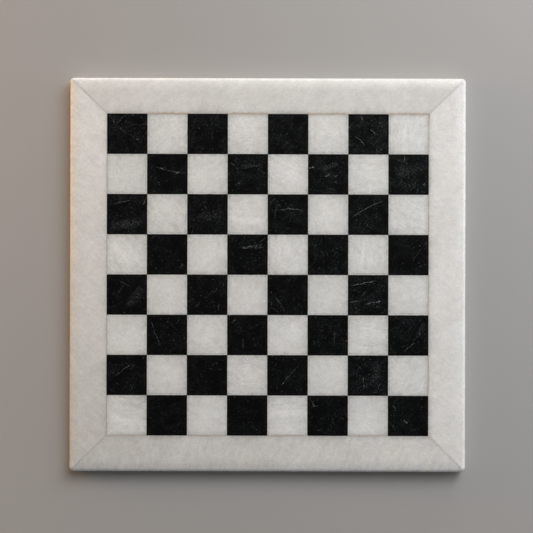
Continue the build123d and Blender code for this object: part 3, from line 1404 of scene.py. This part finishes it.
@dataclass
class PlayingField:
    """Sixty-four tiles, each a piece of its own with a polished arris and a few chipped edges.

    Sizes that the frame doesn't hold are in metres.
    """

    arris: float = 0.09 * MM
    chip_depth: float = 0.7 * MM  # how far down the sides the chipping reaches
    stops_per_side: int = 64  # how finely an edge can be chipped
    squareness: float = 0.09  # the most that a tile is turned, in degrees
    drift: float = 0.05 * MM  # the most that a tile is off its place
    usual_life: float = 0.3  # how lively a dark tile is when it isn't listed
    seed: int = 7

    # The most small chips in one edge
    CHIPS: ClassVar[dict[Shade, int]] = {Shade.DARK: 7, Shade.LIGHT: 4}
    # Which way the streaks of tiles that aren't listed run, and how much that varies, in degrees
    USUAL_STREAKS: ClassVar[dict[Shade, tuple[float, float]]] = {
        Shade.DARK: (40.0, 35.0),
        Shade.LIGHT: (-35.0, 40.0),
    }
    # Dark tiles whose stone is livelier or calmer than most
    LIVELY: ClassVar[dict[str, float]] = {
        "a7": 1.0, "e7": 0.9, "c7": 0.4, "b6": 0.6, "f8": 0.5, "a1": 0.5, "c1": 0.6, "g7": 0.7,
        "b8": 0.9, "d6": 0.5, "h8": 0.2, "g3": 0.05, "h2": 0.05, "d8": 0.1, "d2": 0.05,
        "h4": 0.15, "b2": 0.15, "f2": 0.1, "f4": 0.15, "g5": 0.15, "e5": 0.3, "g1": 0.25,
    }
    # Which way the streaks of the more strongly streaked light tiles run, in degrees
    STREAKS: ClassVar[dict[str, float]] = {
        "a2": 42.0, "a4": -6.0, "a8": 84.0, "b5": -34.0, "b7": 9.0, "c2": -50.0, "c4": 1.0,
        "c8": -32.0, "d1": -52.0, "d5": 75.0, "d7": 88.0, "f7": -8.0, "g4": 2.0, "g8": 44.0,
        "h1": -10.0, "h5": 3.0,
    }

    def blank(self, side: float, depth: float, top: float) -> bpy.types.Object:
        """Makes one tile over the board's centre, with finely divided edges that can be chipped.

        Args:
            side: The tile's side.
            depth: The tile's thickness.
            top: The level of the playing face.

        Returns:
            The blank tile.
        """
        tile = grid("tile_blank", self.stops_per_side, side, (0.0, 0.0, top))
        with Editing(tile) as edit:
            edit.everything()
            bpy.ops.mesh.dissolve_faces(use_verts=False)
            edit.extrude((0, 0, -self.chip_depth))
            edit.extrude((0, 0, self.chip_depth - depth))
            edit.face_outwards()
            edit.edges_at(top)
            edit.bevel(self.arris, 2)
        return tile

    def wear(self, tile: bpy.types.Object, square: Square, chance: random.Random) -> None:
        """Chips a tile's upper edges back from their true line.

        Args:
            tile: The tile, still over the board's centre.
            square: The square that it is for.
            chance: The source of random numbers.
        """
        half = square.side / 2
        top = square.centre.z
        rim = half - 2 * self.arris
        edges = [WornEdge(chance, square.side, self.CHIPS[square.shade]) for _ in range(4)]
        inwards = (Vector((-1, 0, 0)), Vector((1, 0, 0)), Vector((0, -1, 0)), Vector((0, 1, 0)))
        for vertex in tile.data.vertices:
            x, y, z = vertex.co
            if z < top - self.chip_depth / 2 or max(abs(x), abs(y)) < rim:
                continue
            upper = z > top - self.arris / 4
            for edge, inward, across, along in zip(edges, inwards, (x, -x, y, -y), (y, y, x, x)):
                if across > rim:
                    depth = edge.depth(along + half)
                    lower = inward * 0.75 * depth - UP * 0.25 * depth
                    vertex.co += inward * depth if upper else lower

    def lay(self, blank: bpy.types.Object, square: Square) -> None:
        """Lays one tile: worn, slightly out of true, dressed and handed over.

        Args:
            blank: The blank tile.
            square: The square to fill.
        """
        chance = random.Random(f"{self.seed} {square.name}")
        tile = copy_of(blank, f"tile_{square.name}")
        self.wear(tile, square, chance)
        skew = math.radians(chance.uniform(-self.squareness, self.squareness))
        drift = [chance.uniform(-self.drift, self.drift) for _ in range(2)]
        place = square.centre + Vector((*drift, -square.centre.z))
        tile.data.transform(Matrix.Translation(place) @ Matrix.Rotation(skew, 4, "Z"))
        usual_life = self.usual_life * chance.uniform(0.5, 1.5)
        streaked = square.name in self.STREAKS
        lively = self.LIVELY.get(square.name, 1.0 if streaked else usual_life)
        offset = place_in_block(chance)
        usual_streaks = chance.gauss(*self.USUAL_STREAKS[square.shade])
        streaks = self.STREAKS.get(square.name, usual_streaks)
        sawn_from(tile, square.centre, streaks, offset)
        characterise(tile, lively, [1.0] * len(tile.data.vertices))
        offsets = square.offsets(tile.data)
        square.write_sides(tile.data, offsets)
        for number, vein in enumerate(VEINS.get(square.name, ())):
            Vein(*vein).write(tile.data, number, offsets)
        dress(tile, DARK_STONE if square.shade is Shade.DARK else LIGHT_STONE)
        smooth_by_angle(tile, FACET_ANGLE)
        hand_over(tile, square.node)

    def build(self) -> None:
        """Lays every tile where its group stands in the frame."""
        low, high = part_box("dark_tiles_rank_1")
        side = high.x - low.x
        blank = self.blank(side, high.z - low.z, high.z)
        for rank in range(len(FILES)):
            for parity, shade in enumerate(Shade):
                low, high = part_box(f"{shade.value}_tiles_rank_{rank + 1}")
                files = [file for file in range(len(FILES)) if (file + rank) % 2 == parity]
                step = (high.y - low.y - side) / (len(files) - 1)
                for order, file in enumerate(files):
                    row = high.y - side / 2 - order * step
                    centre = Vector(((low.x + high.x) / 2, row, high.z))
                    self.lay(blank, Square(file, rank, shade, centre, side))
        bpy.data.objects.remove(blank)


# --------------------------------------------------------------------------------------------
# Border
# --------------------------------------------------------------------------------------------


@dataclass
class Border:
    """Four mitred strips round the field, cut from one softly rounded block, and their resin.

    The block's outer edge is rounded over, and its face falls away a little before that, as hand
    polishing leaves it. Sizes that the frame doesn't hold are in metres.
    """

    corner_radius: float = 4.0 * MM
    upper_round: float = 3.0 * MM
    lower_round: float = 1.5 * MM
    mitre_joint: float = 0.25 * MM
    arris: float = 0.10 * MM
    crown: float = 1.0 * MM  # how far the face falls away before its rounded edge
    crown_width: float = 11.0 * MM
    crown_power: float = 2.5
    crown_steps: int = 9
    resin_sink: float = 0.015 * MM

    # Each strip's streaks, in degrees, how strong they are, and how light it is at its two ends,
    # which holds its own tone and painted light and shade: lightest by the top-left corner,
    # darkest by the bottom-left
    STONE: ClassVar[dict[Side, tuple[float, float, float, float]]] = {
        Side.WHITE: (-44.0, 1.0, 0.89, 1.18),
        Side.BLACK: (-35.0, 0.6, 1.10, 1.11),
        Side.QUEEN: (38.0, 0.8, 1.02, 0.95),
        Side.KING: (67.0, 1.3, 0.895, 1.04),
    }
    # The squares at the field's corners, each with the way that it lies along X and along Y
    CORNERS: ClassVar[dict[str, tuple[float, float]]] = {
        "a1": (-1.0, 1.0), "a8": (1.0, 1.0), "h8": (1.0, -1.0), "h1": (-1.0, -1.0),
    }

    def __post_init__(self) -> None:
        """Reads the border's outline and levels from the frame."""
        boxes = [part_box(f"border_strip_{side.label}") for side in Side]
        self.low = Vector([min(box[0][axis] for box in boxes) for axis in range(3)])
        self.high = Vector([max(box[1][axis] for box in boxes) for axis in range(3)])
        self.middle = (self.low + self.high) / 2
        self.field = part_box("tile_joint_resin")[1]
        self.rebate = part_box("bedding_resin")[1]

    def rounded_block(self) -> bpy.types.Object:
        """Makes the block that the strips are cut from.

        Returns:
            The block, rounded at its corners and edges.
        """
        body = block("border_blank", self.low, self.high)
        with Editing(body) as edit:
            edit.edges(lambda e: abs(e.verts[0].co.z - e.verts[1].co.z) > MM)
            edit.bevel(self.corner_radius, 10)
            edit.edges_at(self.low.z)
            edit.bevel(self.lower_round, 4)
            edit.edges_at(self.high.z)
            edit.bevel(self.upper_round, 10)
            for step in range(self.crown_steps + 1):
                inward = self.upper_round + step * self.crown_width / self.crown_steps
                for axis, direction in enumerate((Vector((1, 0, 0)), Vector((0, 1, 0)))):
                    edit.cut(direction * (self.low[axis] + inward), direction)
                    edit.cut(direction * (self.high[axis] - inward), direction)
        for vertex in body.data.vertices:
            if vertex.co.z > self.middle.z:
                vertex.co.z = self.high.z - self.fall(self.reach(vertex.co))
        return body

    def reach(self, place: Vector) -> float:
        """Measures how far a point is from the board's rounded outline.

        Args:
            place: The point.

        Returns:
            The level distance inwards from the outline.
        """
        half = (self.high - self.low) / 2
        past = [
            self.corner_radius - half[axis] + abs(place[axis] - self.middle[axis])
            for axis in (0, 1)
        ]
        return self.corner_radius - (math.hypot(*past) if min(past) > 0.0 else max(past))

    def fall(self, reach: float) -> float:
        """Says how far the polished face has fallen at a distance from the outline.

        Args:
            reach: The distance inwards from the outline.

        Returns:
            The drop below the playing face, as a shallow crown that runs into a round.
        """
        share = 1.0 - (reach - self.upper_round) / self.crown_width
        crown = self.crown * min(max(share, 0.0), 1.0) ** self.crown_power
        if reach >= self.upper_round:
            return crown
        start = math.atan(self.crown * self.crown_power / self.crown_width)
        radius = self.upper_round / (1.0 - math.sin(start))
        run = radius - max(reach, 0.0)
        return crown + radius * math.cos(start) - math.sqrt(radius**2 - run**2)

    def mitre(self, turn_x: float, turn_y: float) -> tuple[Vector, Vector]:
        """Finds the mitre at one corner of the field.

        Args:
            turn_x: Which way the corner lies along X.
            turn_y: Which way it lies along Y.

        Returns:
            A point on the mitre, and the level direction along it, outwards.
        """
        inner = Vector((self.field.x * turn_x, self.field.y * turn_y, 0.0))
        outer = Vector((self.high.x * turn_x, self.high.y * turn_y, 0.0))
        return inner, (outer - inner).normalized()

    def cut_strip(self, piece: bpy.types.Object, out: Vector, across: Vector) -> None:
        """Cuts a copy of the block down to one strip, with its lip over the core slab.

        Args:
            piece: The copy of the rounded block.
            out: The way out of the board on the strip's side.
            across: The way along the strip.
        """
        wall, inner = abs(self.rebate.dot(out)), abs(self.field.dot(out))
        lip_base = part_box("dark_tiles_rank_1")[0].z
        top = self.high.z
        with Editing(piece) as edit:
            edit.cut_away(out * wall, -out)
            edit.cut((0, 0, lip_base), (0, 0, 1))
            edit.faces(
                lambda f: f.normal.dot(out) < -0.99 and f.calc_center_median().z > lip_base
            )
            edit.extrude(-out * (wall - inner))
            for end in (-1.0, 1.0):
                through, along = self.mitre(*(out + across * end).xy)
                outward = Vector((along.y, -along.x, 0.0))
                outward *= math.copysign(1.0, outward.dot(across * end))
                edit.cut_away(through - outward * self.mitre_joint / 2, outward)
            edit.edges(lambda e: all(
                near(v.co.z, top) and near(v.co.dot(out), inner, 0.05 * MM) for v in e.verts
            ))
            edit.bevel(self.arris, 2)
        mend_normals(piece)

    def strip(self, body: bpy.types.Object, side: Side) -> None:
        """Makes one strip and dresses it in its own stone.

        Args:
            body: The rounded block.
            side: Which side's strip to make.
        """
        piece = copy_of(body, f"stone_strip_{side.label}")
        out = side.outward
        across = Vector((abs(out.y), abs(out.x), 0.0))
        self.cut_strip(piece, out, across)
        middle = (Vector(piece.bound_box[0]) + Vector(piece.bound_box[6])) / 2
        streaks, lively, start, finish = self.STONE[side]
        sawn_from(piece, middle, streaks, place_in_block(random.Random(side.label)))
        reach = abs(self.high.dot(across))
        shares = [vertex.co.dot(across) / reach for vertex in piece.data.vertices]
        # Painted light and shade: the strip's lightness runs from one end's value to the other's.
        tones = [(start + finish) / 2 + share * (finish - start) / 2 for share in shares]
        characterise(piece, lively, tones)
        dress(piece, BORDER_STONE)
        smooth_by_angle(piece, FACET_ANGLE)
        hand_over(piece, f"border_strip_{side.label}")

    def mitre_resin(self, body: bpy.types.Object, corner: str) -> None:
        """Cuts the thin plate of resin that fills one mitre, a hair below the stone.

        Args:
            body: The rounded block.
            corner: The corner square that the mitre starts from.
        """
        piece = copy_of(body, f"mitre_resin_{corner}")
        through, along = self.mitre(*self.CORNERS[corner])
        across = Vector((along.y, -along.x, 0.0))
        with Editing(piece) as edit:
            for way in (-1.0, 1.0):
                edit.cut_away(through + across * way * self.mitre_joint / 2, across * way)
            edit.cut_away(through, -along)
            edit.everything()
            bpy.ops.transform.translate(value=-(along + UP) * self.resin_sink)
        mend_normals(piece)
        dress(piece, MITRE_RESIN)
        smooth_by_angle(piece, FACET_ANGLE)
        hand_over(piece, "mitre_joint_resin")

    def build(self) -> None:
        """Makes the four strips and the resin in their mitres."""
        body = self.rounded_block()
        for side in Side:
            self.strip(body, side)
        for corner in self.CORNERS:
            self.mitre_resin(body, corner)
        bpy.data.objects.remove(body)


# --------------------------------------------------------------------------------------------
# Resin between the tiles, and what lies under them
# --------------------------------------------------------------------------------------------


@dataclass
class TileJoints:
    """The lattice of resin between the tiles, which also fills the chips in their edges.

    Sizes are in metres.
    """

    reach: float = 0.36 * MM  # how far the resin reaches into chipped edges, beside each joint
    sink: float = 0.03 * MM  # how far it stands below the polished faces

    def build(self) -> None:
        """Makes the lattice as a grid with its openings cut out, then gives it its depth."""
        squares = len(FILES)
        low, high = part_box("tile_joint_resin")
        tile_low, tile_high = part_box("dark_tiles_rank_1")
        joint = (high.x - low.x - squares * (tile_high.x - tile_low.x)) / (squares + 1)
        side = high.x - low.x - joint
        middle = (low + high) / 2
        lattice = grid("resin_lattice", squares, side, (middle.x, middle.y, high.z - self.sink))
        outer = side / 2
        growth = (outer + joint / 2) / outer
        with Editing(lattice) as edit:
            edit.everything()
            bpy.ops.mesh.inset(thickness=joint / 2 + self.reach, use_individual=True)
            bpy.ops.mesh.delete(type="FACE")
            edit.verts(lambda v: near(max(map(abs, v.co.xy)), outer))
            bpy.ops.transform.resize(value=(growth, growth, 1.0), center_override=(0, 0, 0))
            edit.everything()
            edit.extrude((0, 0, low.z - high.z + self.sink))
            edit.face_outwards()
        dress(lattice, JOINT_RESIN)
        hand_over(lattice, "tile_joint_resin")


@dataclass
class Underside:
    """The core slab, its bed of resin and the felt that covers them from below.

    Sizes are in metres.
    """

    felt_corner: float = 6.0 * MM
    rolled_edge: float = 0.45 * MM
    trim: float = 0.25 * MM  # how far the felt's cut edge wanders
    trim_pace: float = 60.0  # how fast it wanders, in turns per metre
    trim_start: float = 0.97  # where the edge starts, as a share of the way out
    divisions: int = 90
    soft_angle: float = 60.0  # degrees, up to which felt is shaded smooth

    def felt(self) -> None:
        """Makes the felt as a sheet with a slightly wandering cut edge and rolled rims."""
        low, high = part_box("felt_sheet")
        felt = grid("felt_pad", self.divisions, 1.0, (0.0, 0.0, low.z))
        felt.data.transform(Matrix.Diagonal((high.x - low.x, high.y - low.y, 1.0, 1.0)))
        half = (high - low) / 2
        for vertex in felt.data.vertices:
            self.round_corner(vertex, half)
            self.wander(vertex, half)
        with Editing(felt) as edit:
            edit.everything()
            edit.extrude((0, 0, high.z - low.z))
            edit.face_outwards()
            edit.edges(self.is_rim)
            edit.bevel(self.rolled_edge, 3)
        smooth_by_angle(felt, self.soft_angle)
        dress(felt, FELT)
        hand_over(felt, "felt_sheet")

    @staticmethod
    def is_rim(edge: bmesh.types.BMEdge) -> bool:
        """Says whether an edge is where the felt's flat faces meet its cut side."""
        level = near(edge.verts[0].co.z, edge.verts[1].co.z)
        return level and edge.is_manifold and edge.calc_face_angle(0.0) > 1.0

    def round_corner(self, vertex: bpy.types.MeshVertex, half: Vector) -> None:
        """Pulls a vertex of the square sheet inside its rounded corner.

        Args:
            vertex: The vertex.
            half: Half of the sheet's size.
        """
        past = [abs(vertex.co[axis]) - (half[axis] - self.felt_corner) for axis in (0, 1)]
        if min(past) <= 0.0:
            return
        shrink = max(past) / math.hypot(*past)
        for axis in (0, 1):
            away = half[axis] - self.felt_corner + past[axis] * shrink
            vertex.co[axis] = math.copysign(away, vertex.co[axis])

    def wander(self, vertex: bpy.types.MeshVertex, half: Vector) -> None:
        """Moves a vertex on the sheet's edge in by a little, as scissors leave it.

        Args:
            vertex: The vertex.
            half: Half of the sheet's size.
        """
        share = max(abs(vertex.co.x) / half.x, abs(vertex.co.y) / half.y)
        if share > self.trim_start:
            place = Vector((vertex.co.x, vertex.co.y, 0.0)) * self.trim_pace
            ripple = 0.5 + 0.5 * noise.noise(place)
            vertex.co.xy *= 1.0 - self.trim * ripple / half.x

    def build(self) -> None:
        """Makes the felt, and dresses the slab and its bed where they stand."""
        for node, finish in (("core_slab", CORE_STONE), ("bedding_resin", BEDDING_RESIN)):
            dress(bpy.data.objects[node], finish)
            log.info("%s: kept from the frame", node)
        self.felt()


# --------------------------------------------------------------------------------------------
# Studio
# --------------------------------------------------------------------------------------------


@dataclass(frozen=True)
class SoftBox:
    """A soft rectangular light: where it hangs and faces, in metres, and its power in watts."""

    name: str
    place: tuple[float, float, float]
    aim: tuple[float, float, float]
    size: tuple[float, float]
    power: float
    colour: Colour


@dataclass
class Studio:
    """A plain pale floor, soft lights and a camera straight above the board.

    Sizes are in metres, angles in degrees and the sun's strength in watts per square metre.
    """

    floor_radius: float = 9.0
    lens: float = 85.0  # millimetres, as the sensor
    sensor: float = 36.0
    board_share: float = 0.7445  # of the picture's width
    camera_offset: tuple[float, float] = (-0.0011, 0.0080)
    camera_roll: float = 0.15
    sun_azimuth: float = 62.0  # from +X towards +Y
    sun_elevation: float = 48.0
    sun_strength: float = 1.27
    sun_spread: float = 40.0
    daylight: Colour = (1.0, 0.99, 0.98)
    horizon: float = 0.42  # how bright the room is near the horizon, and overhead
    overhead: float = 0.015
    backdrop: Colour = (0.50, 0.495, 0.49)

    SOFT_BOXES: ClassVar[tuple[SoftBox, ...]] = (
        SoftBox("key", (0.55, 0.62, 0.62), (0.10, 0.10, 0.0), (0.5, 0.5), 3.4, (1.0, 0.99, 0.98)),
        SoftBox("rim", (0.0, 1.25, 0.20), (0.0, 0.15, 0.0), (1.6, 0.22), 5.0, (1.0, 0.98, 0.96)),
        SoftBox(
            "warm", (-1.15, 0.35, 0.24), (-0.15, 0.0, 0.0), (0.60, 0.36), 5.2, (1.0, 0.45, 0.05)
        ),
        SoftBox(
            "fill", (1.15, 0.20, 0.24), (0.15, 0.0, 0.0), (0.60, 0.36), 2.0, (0.96, 0.98, 1.0)
        ),
    )

    def floor(self) -> None:
        """Lays the floor."""
        put_away_selection()
        bpy.ops.mesh.primitive_circle_add(
            vertices=96, radius=self.floor_radius, fill_type="NGON", location=(0, 0, 0)
        )
        floor = settle(bpy.context.object, "studio_floor")
        dress(floor, FLOOR)
        floor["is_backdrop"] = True

    @staticmethod
    def put_up(
        name: str, data: bpy.types.ID, place: Sequence[float], turn: Euler
    ) -> bpy.types.Object:
        """Puts a light or the camera in the scene.

        Args:
            name: Its name.
            data: What it is.
            place: Where it stands.
            turn: Which way it is turned.

        Returns:
            The object.
        """
        thing = bpy.data.objects.new(name, data)
        thing.location = place
        thing.rotation_euler = turn
        bpy.context.scene.collection.objects.link(thing)
        return thing

    def soft_box(self, box: SoftBox) -> None:
        """Hangs a soft rectangular light.

        Args:
            box: The light.
        """
        lamp = bpy.data.lights.new(box.name, "AREA")
        lamp.shape = "RECTANGLE"
        lamp.size, lamp.size_y = box.size
        lamp.energy = box.power
        lamp.color = box.colour
        facing = (Vector(box.aim) - Vector(box.place)).to_track_quat("-Z", "Y").to_euler()
        self.put_up(box.name, lamp, box.place, facing)

    def soft_sun(self) -> None:
        """Adds a broad even light from one side."""
        lamp = bpy.data.lights.new("soft_sun", "SUN")
        lamp.energy = self.sun_strength
        lamp.angle = math.radians(self.sun_spread)
        lamp.color = self.daylight
        turn, rise = math.radians(self.sun_azimuth), math.radians(self.sun_elevation)
        level = math.cos(rise)
        source = Vector((level * math.cos(turn), level * math.sin(turn), math.sin(rise)))
        facing = (-source).to_track_quat("-Z", "Y").to_euler()
        self.put_up("soft_sun", lamp, (0.0, 0.0, 0.0), facing)

    def room(self) -> None:
        """Lights the room: pale at the horizon, dim overhead, and plain pale where it is seen."""
        world = bpy.data.worlds.new("studio_room")
        graph = Graph(world)
        height = graph.split(graph.node("ShaderNodeTexCoord", {}, "Generated"))[2]
        fade = {"From Min": 0.10, "From Max": 0.92, "To Min": self.horizon, "To Max": self.overhead}
        light = graph.node("ShaderNodeMapRange", {"Value": height, **fade}, "Result")
        glow = graph.node("ShaderNodeBackground", {"Color": light}, 0)
        seen = graph.node("ShaderNodeBackground", {"Color": self.backdrop}, 0)
        direct = graph.node("ShaderNodeLightPath", {}, "Is Camera Ray")
        mixed = graph.node("ShaderNodeMixShader", {0: direct, 1: glow, 2: seen}, 0)
        graph.add("ShaderNodeOutputWorld", {"Surface": mixed})
        bpy.context.scene.world = world

    def camera(self) -> None:
        """Stands the camera straight above the board, at the distance that frames it."""
        low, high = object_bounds()
        height = (high.x - low.x) / self.board_share * self.lens / self.sensor
        data = bpy.data.cameras.new("camera")
        data.lens = self.lens
        data.sensor_width = self.sensor
        data.dof.use_dof = False
        place = (*self.camera_offset, high.z + height)
        turn = Euler((0.0, 0.0, math.radians(self.camera_roll)))
        bpy.context.scene.camera = self.put_up("camera", data, place, turn)

    def build(self) -> None:
        """Sets up the floor, the lights and the camera."""
        bpy.context.scene.view_settings.view_transform = "Standard"
        self.floor()
        self.room()
        self.soft_sun()
        for box in self.SOFT_BOXES:
            self.soft_box(box)
        self.camera()


def main() -> None:
    """Sets up the studio, then builds the board's classes in order."""
    logging.basicConfig(level=logging.INFO, format="%(message)s")
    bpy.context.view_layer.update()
    Studio().build()
    PlayingField().build()
    Border().build()
    TileJoints().build()
    Underside().build()


if __name__ == "__main__":
    main()
